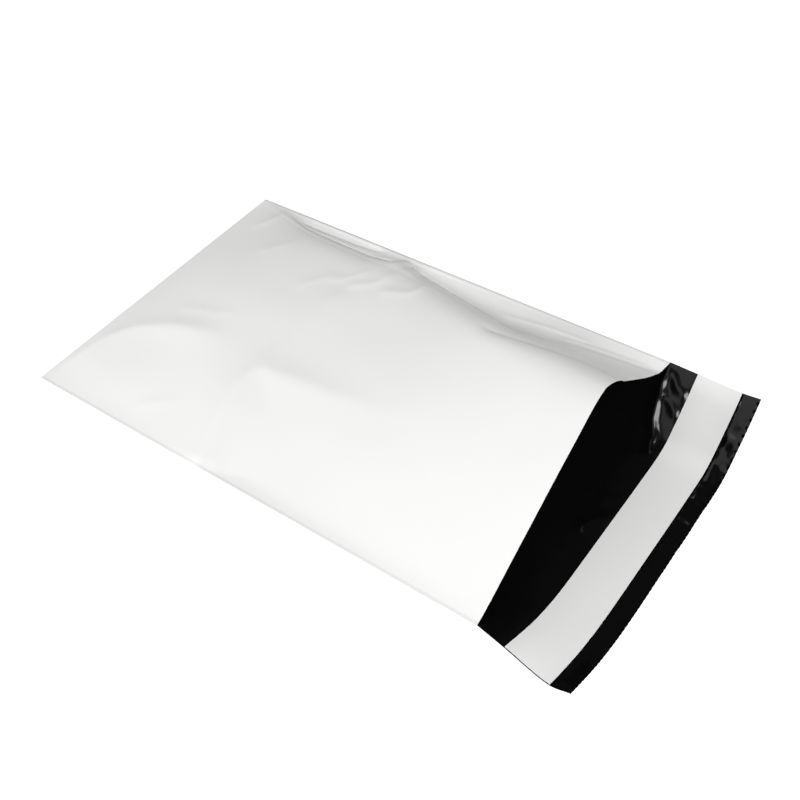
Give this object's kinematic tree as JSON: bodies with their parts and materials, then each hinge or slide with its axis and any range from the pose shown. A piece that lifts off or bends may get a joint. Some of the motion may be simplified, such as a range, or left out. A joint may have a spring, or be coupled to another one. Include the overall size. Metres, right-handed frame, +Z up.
{
  "type": "poly mailer bag",
  "caption": "Empty side-welded poly mailer bag lying open, white outside and black inside, its flap laid out with a release liner over the glue line.",
  "frame": {"origin": "on the table under the middle of the pocket, on the flat underside of the back panel", "axes": "+X from the closed fold towards the flap, +Y from the lower side weld to the higher one, +Z up off the table"},
  "size_m": [0.2691, 0.1525, 0.0492],
  "materials": {
    "film": "co-extruded polyethylene film, white and satin outside, black and glossy inside",
    "adhesive": "clear hot-melt glue, hidden under the liner",
    "liner": "siliconised release paper, pale grey, smooth"
  },
  "bodies": {
    "root": {"mailer_film": "film", "adhesive_strip": "adhesive", "release_liner": "liner"}
  },
  "joints": []
}
